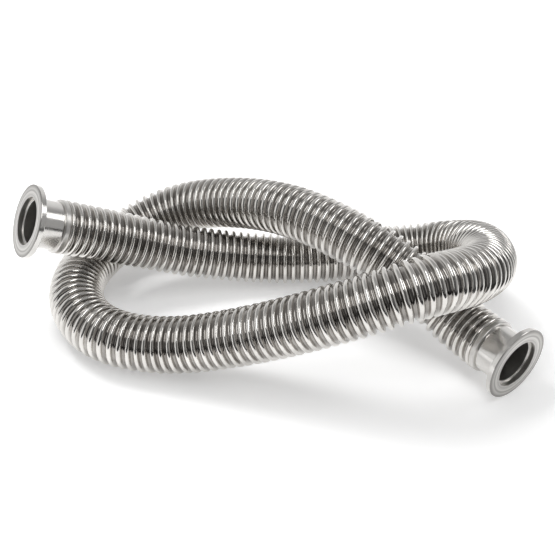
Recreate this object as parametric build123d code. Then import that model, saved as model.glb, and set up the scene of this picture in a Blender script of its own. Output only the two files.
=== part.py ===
"""Corrugated stainless steel vacuum hose with a small clamp flange on each end.

The hose lies on a flat surface, tied loosely through itself in an overhand loop. +Z is up, and the
origin is at the middle of the whole object's outline on that surface. All sizes are in millimetres.

Five pieces, all fixed to each other by welds: two turned flanges with their stub tubes, two end
rings on those stubs, and the corrugated hose between the rings. The hose is one closed tube from
its crest diameter down to its clear bore, along its whole route.
"""

from build123d import *
import math
import os

# Clamp flange of nominal bore 25, with its stub tube
FLANGE_OD = 40.0
FLANGE_RIM = 3.0
FLANGE_TAPER_DEG = 15.0
STUB_OD = 26.9
STUB_WALL = 1.45
STUB_BORE = STUB_OD - 2 * STUB_WALL
RECESS_STEP = 1.1
RECESS_ID = STUB_BORE + 2 * RECESS_STEP
RECESS_DEPTH = 3.0
RIM_EDGE = 0.4
MOUTH_EDGE = 0.3

# End ring, welded round the stub
RING_WALL = 1.55
RING_OD = STUB_OD + 2 * RING_WALL
RING_START = 15.9
RING_LENGTH = 3.6
RING_NOSE = 1.0

# Hose: its corrugations reach a little inside the stub's outer face, and it starts at the ring's back
ROOT_INSET = 1.0
CORRUGATION_DEPTH = 2.8
HOSE_BORE = STUB_OD - 2 * ROOT_INSET
HOSE_OD = HOSE_BORE + 2 * CORRUGATION_DEPTH
HOSE_START = RING_START + RING_LENGTH

# The stub ends inside the ring, just short of the hose
STUB_SETBACK = 0.3
STUB_END = HOSE_START - STUB_SETBACK

# Each corner of the hose's route is rounded by this share of its shorter run
CORNER_SHARE = 0.45

# Corners of the hose's route, from the raised end, round the loop, to the end that lies flat
ROUTE = [
    (-114.2, 7.6, 55.1),
    (-84.6, 22.8, 37.6),
    (-48.4, 30.3, 22.9),
    (-10.2, 34.7, 15.25),
    (27.9, 33.8, 15.25),
    (61.8, 41.2, 15.25),
    (90.1, 45.4, 15.25),
    (111.3, 36.5, 23.9),
    (121.7, 15.7, 36.7),
    (118.8, -17.0, 47.5),
    (100.9, -46.8, 61.4),
    (73.0, -64.0, 67.5),
    (37.0, -64.7, 52.7),
    (-7.2, -55.6, 30.6),
    (-53.0, -47.6, 15.25),
    (-90.0, -37.7, 15.25),
    (-109.6, -10.4, 15.7),
    (-110.8, 24.3, 15.25),
    (-91.9, 54.3, 19.1),
    (-61.2, 67.0, 30.8),
    (-24.8, 55.7, 43.0),
    (12.0, 29.5, 53.9),
    (47.6, 1.8, 51.5),
    (79.7, -16.3, 37.9),
    (100.0, -31.3, 20.8),
    (114.2, -50.1, 20.4),
]


def corner_radii(points):
    """The largest arc that each corner's two runs allow."""
    radii = []
    for before, corner, after in zip(points, points[1:], points[2:]):
        run_in = Vector(*corner) - Vector(*before)
        run_out = Vector(*after) - Vector(*corner)
        half_turn = math.radians(run_in.get_angle(run_out)) / 2
        shorter = min(run_in.length, run_out.length)
        radii.append(CORNER_SHARE * shorter / math.tan(half_turn))
    return radii


def hose_route():
    """Straight runs joined by tangent arcs."""
    radii = corner_radii(ROUTE)
    print("corner radii:", [round(r, 1) for r in radii])
    return FilletPolyline(*ROUTE, radius=radii)


def end_planes(route):
    """A plane at each sealing face, facing out along the hose's end."""
    planes = []
    for at, outward in ((0, -1), (1, 1)):
        axis = route.tangent_at(at) * outward
        face = route.position_at(at) + axis * HOSE_START
        planes.append(Plane(origin=face, z_dir=axis))
    return planes


def turned(profile):
    """A solid of revolution from (radius, depth) points, where depth runs in from the sealing face."""
    corners = [(radius, 0, -depth) for radius, depth in profile]
    return revolve(make_face(Polyline(*corners, close=True)), Axis.Z)


def flange():
    """Sealing flange, its tapered back for the clamp, the seal ring's recess and the stub tube."""
    rim, stub = FLANGE_OD / 2, STUB_OD / 2
    recess, bore = RECESS_ID / 2, STUB_BORE / 2
    taper_end = FLANGE_RIM + (rim - stub) * math.tan(math.radians(FLANGE_TAPER_DEG))
    return turned([
        (recess, MOUTH_EDGE),
        (recess + MOUTH_EDGE, 0),
        (rim - RIM_EDGE, 0),
        (rim, RIM_EDGE),
        (rim, FLANGE_RIM),
        (stub, taper_end),
        (stub, STUB_END),
        (bore, STUB_END),
        (bore, RECESS_DEPTH),
        (recess, RECESS_DEPTH),
    ])


def end_ring():
    """Weld ring that slides over the stub and closes the hose's first corrugation."""
    outer, inner = RING_OD / 2, STUB_OD / 2
    return turned([
        (inner, RING_START),
        (outer - RING_NOSE, RING_START),
        (outer, RING_START + RING_NOSE),
        (outer, HOSE_START),
        (inner, HOSE_START),
    ])


def hose(route):
    """The hose as one tube, from its crests down to its bore."""
    start = Plane(origin=route.position_at(0), z_dir=route.tangent_at(0))
    section = Circle(HOSE_OD / 2) - Circle(HOSE_BORE / 2)
    tube = sweep(start * section, path=route)
    area = math.pi * (HOSE_OD**2 - HOSE_BORE**2) / 4
    print("hose length:", round(route.length, 1))
    print("volume over section times length:", round(tube.volume / (area * route.length), 5))
    return tube


def main():
    os.makedirs("parts", exist_ok=True)
    route = hose_route()
    face_a, face_b = end_planes(route)
    parts = {
        "corrugated_hose": hose(route),
        "flange_a": face_a * flange(),
        "flange_b": face_b * flange(),
        "end_ring_a": face_a * end_ring(),
        "end_ring_b": face_b * end_ring(),
    }
    for name, part in parts.items():
        export_step(part, f"parts/{name}.step")


main()
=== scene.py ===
"""Corrugated stainless steel vacuum hose, looped through itself, with a clamp flange on each end."""
import bisect
import math
import random

import bmesh
import bpy
from mathutils import Matrix, Vector


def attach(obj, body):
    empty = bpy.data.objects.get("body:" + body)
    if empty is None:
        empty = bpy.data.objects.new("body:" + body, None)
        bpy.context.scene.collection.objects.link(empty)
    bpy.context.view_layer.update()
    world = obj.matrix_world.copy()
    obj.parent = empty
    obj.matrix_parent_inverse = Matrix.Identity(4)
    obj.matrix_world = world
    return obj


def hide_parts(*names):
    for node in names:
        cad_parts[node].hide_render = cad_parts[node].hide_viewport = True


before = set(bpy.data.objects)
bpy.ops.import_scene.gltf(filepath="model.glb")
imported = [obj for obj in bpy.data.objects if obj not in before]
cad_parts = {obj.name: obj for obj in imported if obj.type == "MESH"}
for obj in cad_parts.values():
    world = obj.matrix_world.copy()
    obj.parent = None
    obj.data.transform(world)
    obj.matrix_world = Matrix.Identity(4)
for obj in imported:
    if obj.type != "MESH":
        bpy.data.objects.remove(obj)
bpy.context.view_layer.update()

MM = 0.001

# Corners of the hose's route, in metres, from the raised end to the low end
ROUTE = [
    (-0.1142, 0.0076, 0.0551),
    (-0.0846, 0.0228, 0.0376),
    (-0.0484, 0.0303, 0.0229),
    (-0.0102, 0.0347, 0.01525),
    (0.0279, 0.0338, 0.01525),
    (0.0618, 0.0412, 0.01525),
    (0.0901, 0.0454, 0.01525),
    (0.1113, 0.0365, 0.0239),
    (0.1217, 0.0157, 0.0367),
    (0.1188, -0.017, 0.0475),
    (0.1009, -0.0468, 0.0614),
    (0.073, -0.064, 0.0675),
    (0.037, -0.0647, 0.0527),
    (-0.0072, -0.0556, 0.0306),
    (-0.053, -0.0476, 0.01525),
    (-0.09, -0.0377, 0.01525),
    (-0.1096, -0.0104, 0.0157),
    (-0.1108, 0.0243, 0.01525),
    (-0.0919, 0.0543, 0.0191),
    (-0.0612, 0.067, 0.0308),
    (-0.0248, 0.0557, 0.043),
    (0.012, 0.0295, 0.0539),
    (0.0476, 0.0018, 0.0515),
    (0.0797, -0.0163, 0.0379),
    (0.1, -0.0313, 0.0208),
    (0.1142, -0.0501, 0.0204),
]
ROUTE_ORDER = 3
ROUTE_STEPS = 48

# Corrugations, in millimetres and degrees: round crests and roots, joined by their straight flanks
CRESTS = 194
CREST_RADIUS = 15.25
ROOT_RADIUS = 12.7
CREST_ROUND = 1.15
CREST_ANGLES = (-90, -54, -18, 18, 54, 90)
ROOT_ANGLES = (-60, -20, 20, 60)

# The ribbed inside of the hose, in millimetres
LINER_ROOT = 12.45
LINER_CREST = 13.5

# How far a crest may stand off its place, in millimetres, and how much it leans, in radians
CREST_SHIFT = 0.10
CREST_TILT = 0.012
SEED = 7

# Flange, stub tube and end ring: radii, and depths behind the sealing face, in millimetres. The
# flange's tapered back meets the stub at TAPER_END.
FLANGE_RADIUS = 20.0
FLANGE_RIM = 3.0
TAPER_END = 4.75
STUB_RADIUS = 13.45
STUB_END = 19.2
BORE_RADIUS = 12.0
RECESS_RADIUS = 13.1
RECESS_DEPTH = 3.0
RING_RADIUS = 14.95
RING_START = 15.95
NOSE_ROUND = 0.8
NOSE_ANGLES = (0, 18, 36, 54, 72, 90)
FITTING_LENGTH = 19.5

# Edges and fillets, as (radius, depth) steps off the corner that each one breaks. Where a long face
# follows, one more step lies on that face and keeps its shading flat.
MOUTH_EDGE = ((0, 0.25), (0.15, 0.06), (0.3, 0), (0.4, 0))
RIM_FRONT_EDGE = ((-0.55, 0), (-0.45, 0), (-0.15, 0.12), (0, 0.42))
RIM_BACK_EDGE = ((0, -0.25), (-0.1, -0.07), (-0.3, 0.05), (-0.6, 0.132))
TAPER_FILLET = ((0.75, -0.202), (0.45, -0.12), (0.1, 0.05), (0, 0.35), (0, 0.55))
BORE_EDGE = ((0, 0.2), (0.2, 0))
RECESS_FILLET = ((-0.1, 0), (0, -0.1))
NOSE_END = ((0, 0.15),)
WELD_GROOVE = ((0, -1.0), (0, -0.9), (-0.1, -0.65), (-0.45, -0.4), (-0.75, -0.3), (-0.85, 0))

# Steps round the hose and round a turned piece, the angle of a turned piece's hard edges, and how
# close two points are merged, in millimetres
BELLOWS_STEPS = 40
TURNED_STEPS = 96
SHARP_DEG = 24
MERGE_DISTANCE = 0.001

# Kinds of socket
NUMBER = "NodeSocketFloat"
COLOUR = "NodeSocketColor"
VECTOR = "NodeSocketVector"

# Kinds of Mix node, each with the numbers of its first, second and result sockets
MIX_NUMBERS = ("FLOAT", 2, 3, 0)
MIX_COLOURS = ("RGBA", 6, 7, 2)

# Steel finishes: the two ends of each one's tone and of its roughness
TURNED_DARK = (0.42, 0.41, 0.40, 1)
BELLOWS_FINISH = {"Light": (0.79, 0.77, 0.74, 1), "Dark": (0.23, 0.215, 0.20, 1),
                  "Smooth": 0.10, "Rough": 0.20}
FLANGE_FINISH = {"Light": (0.73, 0.715, 0.69, 1), "Dark": TURNED_DARK,
                 "Smooth": 0.15, "Rough": 0.22}
RING_FINISH = {"Light": (0.68, 0.665, 0.64, 1), "Dark": TURNED_DARK,
               "Smooth": 0.28, "Rough": 0.34}

# Clouds in the steel's tone and smudges in its roughness: noise scale, detail and the range used
CLOUD_SCALE = 60
CLOUD_DETAIL = 4
CLOUD_RANGE = (0.35, 0.70)
CLOUD_SHADE = (0.0, 0.25)
SMUDGE_SCALE = 220
SMUDGE_DETAIL = 3
SMUDGE_RANGE = (0.35, 0.75)

# The hose is fully bright from this share of a crest's height up, and this much darker in its roots
# with painted shade
BRIGHT_SHARE = 0.85
ROOT_SHADE = 0.80

# Ring marks left by turning: how close they lie, their detail, their height, and how much they show
FINE_MARKS = 2500
BROAD_MARKS = 550
MARK_DETAIL = 2
MARK_HEIGHT = 0.02 * MM
FLANGE_MARK_STRENGTH = 0.30
RING_MARK_STRENGTH = 0.05

# The dull, broadly marked sealing face, its darker tone partly painted shade, and the matt bore: where
# they are, their tone and roughness
FACE_DEPTH = 0.3 * MM
BORE_ZONE_RADIUS = 13.2 * MM
DULL_AND_SHADE_RANGE = (0.35, 0.65)
DULL_AND_SHADE_SHARE = (0.25, 1.0)
DULL_AND_SHADED_STEEL = (0.27, 0.262, 0.25, 1)
MATT_ROUGHNESS = 0.30

# Camera: its place in metres, its tilt up from straight down, and its lens and sensor in millimetres
CAMERA_PLACE = (0.005064, -0.376108, 0.302724)
CAMERA_TILT_DEG = 54.1935
CAMERA_LENS = 53.70
CAMERA_SENSOR = 36.0

# The room's greys, as (height, grey) from the horizon (0) to straight up (1)
ROOM_FRONT = ((0.0, 0.08), (0.75, 0.10), (0.85, 0.30), (1.0, 0.50))
ROOM_BACK = ((0.0, 0.95), (0.50, 0.80), (0.70, 0.36), (1.0, 0.42))
ROOM_LEFT = ((0.0, 0.90), (0.60, 0.85), (0.75, 0.50), (1.0, 0.50))
ROOM_RIGHT = ((0.0, 0.42), (0.45, 0.40), (0.60, 0.30), (1.0, 0.50))

# The room's other sides take over from its front as a direction's X or Y passes these values
ROOM_SIDES = (
    ("Y", (-0.25, 0.35), ROOM_BACK),
    ("X", (-0.40, -0.70), ROOM_LEFT),
    ("X", (0.45, 0.75), ROOM_RIGHT),
)

# The pale floor, which glows a little, and the pale dome behind it, in metres
FLOOR_REACH = 4.0
FLOOR_GREY = 0.85
FLOOR_ROUGHNESS = 0.7
FLOOR_SPECULAR = 0.1
FLOOR_GLOW = 0.31
BACKDROP_RADIUS = 3.8
BACKDROP_SEGMENTS = 64
BACKDROP_RINGS = 32
BACKDROP_GLOW = 1.0

# A low black band round the front of the hose, in metres, and its two ends in degrees from the front
BAND_RADIUS = 0.36
BAND_HEIGHT = 0.07
BAND_LEFT_DEG = -52
BAND_RIGHT_DEG = 65
BAND_STEPS = 48
BAND_GREY = 0.02

# Softboxes that face the hose, in metres and watts. Reflections don't show the key, which lights the
# floor and casts the shadow.
KEY_PLACE = (-0.42, 0.35, 1.07)
KEY_SIZE = (0.45, 0.45)
KEY_POWER = 7.5
TOP_PLACE = (0.0, -0.33, 1.0)
TOP_SIZE = (0.30, 0.75)
TOP_POWER = 2.4
SIDE_PLACE = (0.95, 0.10, 0.72)
SIDE_SIZE = (0.50, 0.42)
SIDE_POWER = 1.5


def link(name, data):
    """Put a new object in the scene."""
    piece = bpy.data.objects.new(name, data)
    bpy.context.scene.collection.objects.link(piece)
    return piece


def add_camera():
    """The camera that the scene is seen through."""
    lens = bpy.data.cameras.new("camera")
    lens.sensor_fit = "HORIZONTAL"
    lens.sensor_width = CAMERA_SENSOR
    lens.lens = CAMERA_LENS
    camera = link("camera", lens)
    camera.location = CAMERA_PLACE
    camera.rotation_euler = (math.radians(CAMERA_TILT_DEG), 0, 0)
    bpy.context.scene.camera = camera


def route_line():
    """Points along the middle of the hose, read from its route's smooth spline."""
    curve = bpy.data.curves.new("hose_route", "CURVE")
    curve.dimensions = "3D"
    curve.resolution_u = ROUTE_STEPS
    spline = curve.splines.new("NURBS")
    spline.points.add(len(ROUTE) - 1)
    for point, corner in zip(spline.points, ROUTE):
        point.co = (*corner, 1)
    spline.order_u = ROUTE_ORDER
    spline.use_endpoint_u = True
    route = link("hose_route", curve)
    sampled = bpy.data.meshes.new_from_object(route)
    line = [v.co.copy() for v in sampled.vertices]
    bpy.data.objects.remove(route)
    bpy.data.meshes.remove(sampled)
    bpy.data.curves.remove(curve)
    return line


class Line:
    """A smooth line with a steady pair of cross directions along it."""

    def __init__(self, points):
        self.points = points
        self.along = [0.0]
        for a, b in zip(points, points[1:]):
            self.along.append(self.along[-1] + (b - a).length)
        self.length = self.along[-1]
        self.sides = []
        last = len(points) - 1
        side = None
        for i in range(len(points)):
            tangent = (points[min(i + 1, last)] - points[max(i - 1, 0)]).normalized()
            if side is None:
                side = tangent.cross(Vector((0, 0, 1))).normalized()
            side = (side - tangent * side.dot(tangent)).normalized()
            self.sides.append((side.copy(), tangent.cross(side)))

    def place(self, along, across, up):
        """The point at a distance along the line, moved off it by its two cross directions."""
        i = bisect.bisect_right(self.along, along) - 1
        i = max(0, min(i, len(self.points) - 2))
        part = (along - self.along[i]) / (self.along[i + 1] - self.along[i])
        side, over = self.sides[i]
        next_side, next_over = self.sides[i + 1]
        middle = self.points[i].lerp(self.points[i + 1], part)
        return middle + side.lerp(next_side, part) * across + over.lerp(next_over, part) * up


def arc(centre_x, centre_y, radius, angles, sign):
    """Points of an arc about its centre, at angles from +Y (sign 1) or from -Y (sign -1)."""
    points = []
    for angle in angles:
        turn = math.radians(angle)
        points.append((centre_x + radius * math.sin(turn), centre_y + sign * radius * math.cos(turn)))
    return points


def crest_pitch(length):
    """Distance between two crests when the first and last stand at the hose's two ends."""
    return (length - 2 * CREST_ROUND) / (CRESTS - 1)


def bellows_profile(length):
    """Half section of the hose's wall, as (along, out): the corrugations one way, the inside back."""
    pitch = crest_pitch(length)
    root_round = pitch / 2 - CREST_ROUND
    crest_centre = CREST_RADIUS - CREST_ROUND
    root_centre = ROOT_RADIUS + root_round
    outer = [(0, crest_centre)]
    liner = [(0, LINER_ROOT)]
    for i in range(CRESTS):
        middle = CREST_ROUND + i * pitch
        outer += arc(middle, crest_centre, CREST_ROUND, CREST_ANGLES, 1)
        liner.append((middle, LINER_CREST))
        if i < CRESTS - 1:
            outer += arc(middle + pitch / 2, root_centre, root_round, ROOT_ANGLES, -1)
            liner.append((middle + pitch / 2, LINER_ROOT))
    liner.append((length, LINER_ROOT))
    return outer + liner[::-1]


def spun(bm, profile, axis, steps):
    """Spin a closed loop of points, in millimetres, round an axis into a closed solid."""
    ring = [bm.verts.new(point) for point in profile]
    edges = [bm.edges.new(pair) for pair in zip(ring, ring[1:] + ring[:1])]
    bmesh.ops.spin(bm, geom=ring + edges, cent=(0, 0, 0), axis=axis, angle=math.tau,
                   steps=steps, use_merge=True)
    bmesh.ops.remove_doubles(bm, verts=bm.verts, dist=MERGE_DISTANCE)
    bmesh.ops.recalc_face_normals(bm, faces=bm.faces)


def finished(bm, name, sharp_deg=None):
    """Turn the bmesh into a smooth shaded object, with hard edges above an angle if one is given."""
    for face in bm.faces:
        face.smooth = True
    mesh = bpy.data.meshes.new(name)
    bm.to_mesh(mesh)
    bm.free()
    if sharp_deg is not None:
        mesh.set_sharp_from_angle(angle=math.radians(sharp_deg))
    return link(name, mesh)


def bellows(line):
    """The corrugated hose: its half section spun into a straight bellows, then laid along the line."""
    length = line.length / MM
    pitch = crest_pitch(length)
    chance = random.Random(SEED)
    shifts = [chance.uniform(-CREST_SHIFT, CREST_SHIFT) for _ in range(CRESTS)]
    tilts = [(chance.gauss(0, CREST_TILT), chance.gauss(0, CREST_TILT)) for _ in range(CRESTS)]
    shifts[0] = shifts[-1] = 0
    tilts[0] = tilts[-1] = (0, 0)

    bm = bmesh.new()
    spun(bm, [(x, 0, r) for x, r in bellows_profile(length)], (1, 0, 0), BELLOWS_STEPS)
    crest = bm.verts.layers.float.new("crest")
    for v in bm.verts:
        x, across, up = v.co
        height = (math.hypot(across, up) - ROOT_RADIUS) / (CREST_RADIUS - ROOT_RADIUS)
        v[crest] = max(0.0, min(1.0, height))
        # The middle of a crest shifts and leans the most, and the roots beside it stay in place
        pitches = (x - CREST_ROUND) / pitch + 0.5
        i = max(0, min(CRESTS - 1, int(pitches)))
        sway = math.sin(math.pi * (pitches - i)) ** 2
        lean_across, lean_up = tilts[i]
        x += sway * (shifts[i] + lean_across * across + lean_up * up)
        v.co = line.place(x * MM, across * MM, up * MM)
    return finished(bm, "hose_bellows")


def end_face(end, neighbour):
    """Centre and outward axis of the sealing face beyond one end of the route."""
    end, neighbour = Vector(end), Vector(neighbour)
    axis = (end - neighbour).normalized()
    return end + axis * (FITTING_LENGTH * MM), axis


def turned_piece(name, profile, face, axis, stands_for):
    """A turned steel piece behind a sealing face, from (radius, depth) points in millimetres."""
    bm = bmesh.new()
    spun(bm, [(r, 0, -d) for r, d in profile], (0, 0, 1), TURNED_STEPS)
    turn = axis.to_track_quat("Z", "Y").to_matrix().to_4x4()
    place = Matrix.Translation(face) @ turn @ Matrix.Scale(MM, 4)
    bmesh.ops.transform(bm, matrix=place, verts=bm.verts)
    piece = finished(bm, name, SHARP_DEG)
    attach(piece, "root")
    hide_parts(stands_for)
    return piece


def edge(radius, depth, steps):
    """The points of one edge or fillet, from its corner and its steps off that corner."""
    return [(radius + out, depth + back) for out, back in steps]


def flange(letter, face, axis):
    """Clamp flange and stub tube, with the seal recess, broken edges and a tapered back."""
    profile = (
        edge(RECESS_RADIUS, 0, MOUTH_EDGE)
        + edge(FLANGE_RADIUS, 0, RIM_FRONT_EDGE)
        + edge(FLANGE_RADIUS, FLANGE_RIM, RIM_BACK_EDGE)
        + edge(STUB_RADIUS, TAPER_END, TAPER_FILLET)
        + [(STUB_RADIUS, STUB_END), (BORE_RADIUS, STUB_END)]
        + edge(BORE_RADIUS, RECESS_DEPTH, BORE_EDGE)
        + edge(RECESS_RADIUS, RECESS_DEPTH, RECESS_FILLET)
    )
    return turned_piece(f"clamp_flange_{letter}", profile, face, axis,
                        f"flange_{letter}")


def weld_ring(letter, face, axis):
    """The hose's end ring: a rounded nose, a short land and the weld groove before the first crest."""
    nose_end = RING_START + NOSE_ROUND
    profile = (
        [(STUB_RADIUS, RING_START)]
        + arc(RING_RADIUS - NOSE_ROUND, nose_end, NOSE_ROUND, NOSE_ANGLES, -1)
        + edge(RING_RADIUS, nose_end, NOSE_END)
        + edge(RING_RADIUS, FITTING_LENGTH, WELD_GROOVE)
        + [(STUB_RADIUS, FITTING_LENGTH)]
    )
    return turned_piece(f"weld_ring_{letter}", profile, face, axis,
                        f"end_ring_{letter}")


def feed(tree, made, inputs):
    """Fill a node's inputs: another node's socket is linked, and anything else is the value."""
    for label, value in inputs.items():
        if isinstance(value, bpy.types.NodeSocket):
            tree.links.new(value, made.inputs[label])
        else:
            made.inputs[label].default_value = value


def node(tree, kind, inputs=None, **settings):
    """A shader node with its settings and inputs."""
    made = tree.nodes.new(kind)
    for name, value in settings.items():
        setattr(made, name, value)
    feed(tree, made, inputs or {})
    return made


def noise(tree, where, scale, detail, **settings):
    """A noise pattern's value."""
    inputs = {"Vector": where, "Scale": scale, "Detail": detail}
    return node(tree, "ShaderNodeTexNoise", inputs, **settings).outputs["Fac"]


def ranged(tree, value, old, new=(0.0, 1.0), **settings):
    """A value moved from its old range to a new one."""
    inputs = {"Value": value, "From Min": old[0], "From Max": old[1],
              "To Min": new[0], "To Max": new[1]}
    return node(tree, "ShaderNodeMapRange", inputs, **settings).outputs["Result"]


def maths(tree, operation, first, second, clamp=False):
    """The result of one Math node."""
    made = node(tree, "ShaderNodeMath", {0: first, 1: second}, operation=operation, use_clamp=clamp)
    return made.outputs[0]


def mixed(tree, kind, share, first, second):
    """A mix of two numbers or two colours: none of the second at share 0, all of it at 1."""
    data_type, one, two, result = kind
    inputs = {"Factor": share, one: first, two: second}
    return node(tree, "ShaderNodeMix", inputs, data_type=data_type).outputs[result]


def effect(tree, group, inputs):
    """The outputs of a node group that is placed in a material."""
    return node(tree, "ShaderNodeGroup", inputs, node_tree=group).outputs


def new_group(name, inputs, outputs):
    """An empty shader node group, from its sockets' labels and kinds: its tree, what it is given and
    where its results go."""
    tree = bpy.data.node_groups.new(name, "ShaderNodeTree")
    for label, kind in inputs.items():
        tree.interface.new_socket(name=label, in_out="INPUT", socket_type=kind)
    for label, kind in outputs.items():
        tree.interface.new_socket(name=label, in_out="OUTPUT", socket_type=kind)
    return tree, node(tree, "NodeGroupInput").outputs, node(tree, "NodeGroupOutput")


def steel_tone_group():
    """Bright steel's colour and roughness: cloudy tone, faint smudges, and painted shade where it is
    recessed.
    """
    tree, given, sink = new_group(
        "steel_tone",
        {"Vector": VECTOR, "Painted Shade": NUMBER, "Light": COLOUR, "Dark": COLOUR,
         "Smooth": NUMBER, "Rough": NUMBER},
        {"Color": COLOUR, "Roughness": NUMBER},
    )
    clouds = noise(tree, given["Vector"], CLOUD_SCALE, CLOUD_DETAIL)
    shade = ranged(tree, clouds, CLOUD_RANGE, CLOUD_SHADE)
    # The painted shade in the hose's roots is added to the clouds' darkening
    shade = maths(tree, "ADD", shade, given["Painted Shade"], clamp=True)
    smudges = noise(tree, given["Vector"], SMUDGE_SCALE, SMUDGE_DETAIL)
    feed(tree, sink, {
        "Color": mixed(tree, MIX_COLOURS, shade, given["Light"], given["Dark"]),
        "Roughness": ranged(tree, smudges, SMUDGE_RANGE, (given["Smooth"], given["Rough"])),
    })
    return tree


def round_axis(tree, where):
    """How far a point is from the Z axis, and its Z."""
    apart = node(tree, "ShaderNodeSeparateXYZ", {0: where})
    flat = node(tree, "ShaderNodeCombineXYZ", {"X": apart.outputs["X"], "Y": apart.outputs["Y"]})
    radius = node(tree, "ShaderNodeVectorMath", {0: flat.outputs[0]}, operation="LENGTH")
    return radius.outputs["Value"], apart.outputs["Z"]


def lathe_marks_group():
    """Fine rings left by turning, as a height, round the Z axis of the vector it is given."""
    tree, given, sink = new_group(
        "lathe_marks", {"Vector": VECTOR, "Fineness": NUMBER}, {"Height": NUMBER})
    radius, z = round_axis(tree, given["Vector"])
    where = node(tree, "ShaderNodeCombineXYZ", {"X": radius, "Y": z}).outputs[0]
    grooves = noise(tree, where, given["Fineness"], MARK_DETAIL, noise_dimensions="2D")
    feed(tree, sink, {"Height": grooves})
    return tree


def turned_zones_group():
    """Masks for a flange: its sealing face, and its bore. The vector's Z axis is the flange's own."""
    tree, given, sink = new_group(
        "turned_zones",
        {"Vector": VECTOR, "Face Depth": NUMBER, "Bore Radius": NUMBER},
        {"Face": NUMBER, "Bore": NUMBER},
    )
    radius, z = round_axis(tree, given["Vector"])
    depth = maths(tree, "MULTIPLY", z, -1)
    feed(tree, sink, {
        "Face": maths(tree, "LESS_THAN", depth, given["Face Depth"]),
        "Bore": maths(tree, "LESS_THAN", radius, given["Bore Radius"]),
    })
    return tree


def new_steel(name):
    """A bare metal material: its node tree, its shader and its Object coordinates."""
    material = bpy.data.materials.new(name)
    material.use_nodes = True
    tree = material.node_tree
    shader = tree.nodes["Principled BSDF"]
    shader.inputs["Metallic"].default_value = 1.0
    return material, tree, shader, node(tree, "ShaderNodeTexCoord").outputs["Object"]


def bellows_steel(tone):
    """Bright rolled strip, with painted shade down in the corrugations."""
    material, tree, shader, where = new_steel("bellows_steel")
    crest = node(tree, "ShaderNodeAttribute", attribute_name="crest").outputs["Fac"]
    # Painted shade: strongest in the roots, gone from BRIGHT_SHARE of a crest's height up
    recess = ranged(tree, crest, (0.0, BRIGHT_SHARE), (ROOT_SHADE, 0.0))
    steel = effect(tree, tone, {"Vector": where, "Painted Shade": recess, **BELLOWS_FINISH})
    feed(tree, shader, {"Base Color": steel["Color"], "Roughness": steel["Roughness"]})
    return material


def turned_steel(name, groups, face, axis, finish, mark_strength):
    """Turned steel: fine rings about the piece's own axis, a duller sealing face whose darker tone is
    partly painted shade, and a matt bore.
    """
    tone, marks, zones = groups
    material, tree, shader, where = new_steel(name)
    turn = axis.to_track_quat("Z", "Y").to_euler()
    centred = node(tree, "ShaderNodeMapping", {"Vector": where, "Location": face, "Rotation": turn},
                   vector_type="TEXTURE").outputs[0]
    steel = effect(tree, tone, {"Vector": centred, **finish})
    zone = effect(tree, zones, {
        "Vector": centred, "Face Depth": FACE_DEPTH, "Bore Radius": BORE_ZONE_RADIUS})
    broad = effect(tree, marks, {"Vector": centred, "Fineness": BROAD_MARKS})
    fine = effect(tree, marks, {"Vector": centred, "Fineness": FINE_MARKS})
    # The sealing face is darkened in broad rings: partly a duller turned finish, partly painted shade
    # that damps its reflection of the floor
    dull_and_shade = ranged(tree, broad["Height"], DULL_AND_SHADE_RANGE, DULL_AND_SHADE_SHARE)
    dull_and_shade = maths(tree, "MULTIPLY", dull_and_shade, zone["Face"])
    matt = maths(tree, "ADD", zone["Bore"], zone["Face"], clamp=True)
    bump = node(tree, "ShaderNodeBump", {
        "Strength": mark_strength, "Distance": MARK_HEIGHT, "Height": fine["Height"]})
    feed(tree, shader, {
        "Base Color": mixed(tree, MIX_COLOURS, dull_and_shade, steel["Color"], DULL_AND_SHADED_STEEL),
        "Roughness": mixed(tree, MIX_NUMBERS, matt, steel["Roughness"], MATT_ROUGHNESS),
        "Normal": bump.outputs["Normal"],
    })
    return material


def dress(piece, material):
    """Give a piece one material all over."""
    piece.data.materials.clear()
    piece.data.materials.append(material)


def add_fittings(groups):
    """A flange and an end ring at each end of the hose. Returns the low end's pieces."""
    for letter, end, neighbour in (("a", ROUTE[0], ROUTE[1]), ("b", ROUTE[-1], ROUTE[-2])):
        face, axis = end_face(end, neighbour)
        pieces = [flange(letter, face, axis), weld_ring(letter, face, axis)]
        dress(pieces[0], turned_steel(f"turned_steel_{letter}", groups, face, axis,
                                      FLANGE_FINISH, FLANGE_MARK_STRENGTH))
        dress(pieces[1], turned_steel(f"weld_ring_steel_{letter}", groups, face, axis,
                                      RING_FINISH, RING_MARK_STRENGTH))
    return pieces


def studio_material(name, grey=0.0, roughness=1.0, specular=0.0, glow=0.0):
    """A plain material for the things round the object: matt black, unless it is told otherwise."""
    material = bpy.data.materials.new(name)
    material.use_nodes = True
    feed(material.node_tree, material.node_tree.nodes["Principled BSDF"], {
        "Base Color": (grey, grey, grey, 1),
        "Roughness": roughness,
        "Specular IOR Level": specular,
        "Emission Color": (1, 1, 1, 1),
        "Emission Strength": glow,
    })
    return material


def add_floor():
    """A plain pale floor."""
    bm = bmesh.new()
    bmesh.ops.create_grid(bm, x_segments=1, y_segments=1, size=FLOOR_REACH)
    floor = finished(bm, "floor")
    dress(floor, studio_material("pale_floor", grey=FLOOR_GREY, roughness=FLOOR_ROUGHNESS,
                                 specular=FLOOR_SPECULAR, glow=FLOOR_GLOW))


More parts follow.
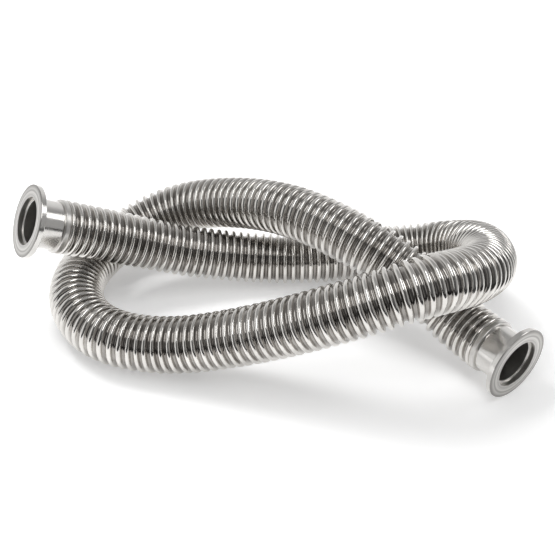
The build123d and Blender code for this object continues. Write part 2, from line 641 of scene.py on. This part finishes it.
def add_backdrop():
    """A pale dome behind everything that only the camera sees."""
    bm = bmesh.new()
    bmesh.ops.create_uvsphere(bm, u_segments=BACKDROP_SEGMENTS, v_segments=BACKDROP_RINGS,
                              radius=BACKDROP_RADIUS)
    bmesh.ops.reverse_faces(bm, faces=bm.faces)
    backdrop = finished(bm, "backdrop")
    dress(backdrop, studio_material("pale_backdrop", glow=BACKDROP_GLOW))
    backdrop.visible_diffuse = backdrop.visible_glossy = backdrop.visible_shadow = False


def softbox(name, place, size, power):
    """A rectangular studio light that faces the middle of the floor."""
    lamp = bpy.data.lights.new(name, "AREA")
    lamp.shape = "RECTANGLE"
    lamp.size, lamp.size_y = size
    lamp.energy = power
    light = link(name, lamp)
    light.location = place
    light.rotation_euler = (-Vector(place)).to_track_quat("-Z", "Y").to_euler()
    return light


def grey_ramp(tree, value, greys):
    """Greys along a value, from (position, grey) pairs."""
    ramp = node(tree, "ShaderNodeValToRGB", {"Fac": value})
    stops = ramp.color_ramp.elements
    for stop, (position, grey) in zip(list(stops), (greys[0], greys[-1])):
        stop.position, stop.color = position, (grey, grey, grey, 1)
    for position, grey in greys[1:-1]:
        stops.new(position).color = (grey, grey, grey, 1)
    return ramp.outputs["Color"]


def add_room():
    """A pale studio, light behind the hose and on its left, dark in front of it."""
    world = bpy.data.worlds.new("studio")
    bpy.context.scene.world = world
    world.use_nodes = True
    tree = world.node_tree
    where = node(tree, "ShaderNodeTexCoord").outputs["Generated"]
    direction = node(tree, "ShaderNodeSeparateXYZ", {0: where}).outputs
    grey = grey_ramp(tree, direction["Z"], ROOM_FRONT)
    for axis, limits, greys in ROOM_SIDES:
        share = ranged(tree, direction[axis], limits, interpolation_type="SMOOTHSTEP")
        grey = mixed(tree, MIX_COLOURS, share, grey, grey_ramp(tree, direction["Z"], greys))
    feed(tree, tree.nodes["Background"], {"Color": grey})


def add_dark_surround():
    """A low black band that only reflections see, as the dark front edge of a table."""
    bm = bmesh.new()
    post = [bm.verts.new((0, -BAND_RADIUS, z)) for z in (0, BAND_HEIGHT)]
    bmesh.ops.rotate(bm, verts=post, matrix=Matrix.Rotation(math.radians(BAND_LEFT_DEG), 3, "Z"))
    bmesh.ops.spin(bm, geom=post + [bm.edges.new(post)], cent=(0, 0, 0), axis=(0, 0, 1),
                   angle=math.radians(BAND_RIGHT_DEG - BAND_LEFT_DEG), steps=BAND_STEPS)
    band = finished(bm, "dark_surround")
    dress(band, studio_material("black_cloth", grey=BAND_GREY))
    band.visible_camera = band.visible_diffuse = band.visible_shadow = False


def main():
    """The hose and its fittings, then the studio round them."""
    add_camera()
    line = Line(route_line())
    hose = bellows(line)
    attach(hose, "root")
    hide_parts("corrugated_hose")
    tone = steel_tone_group()
    dress(hose, bellows_steel(tone))
    far_pieces = add_fittings((tone, lathe_marks_group(), turned_zones_group()))
    add_floor()
    add_backdrop()
    add_room()
    add_dark_surround()
    softbox("key_softbox", KEY_PLACE, KEY_SIZE, KEY_POWER).visible_glossy = False
    softbox("top_softbox", TOP_PLACE, TOP_SIZE, TOP_POWER)
    softbox("side_softbox", SIDE_PLACE, SIDE_SIZE, SIDE_POWER)
    bpy.context.scene.view_settings.view_transform = "Standard"


main()
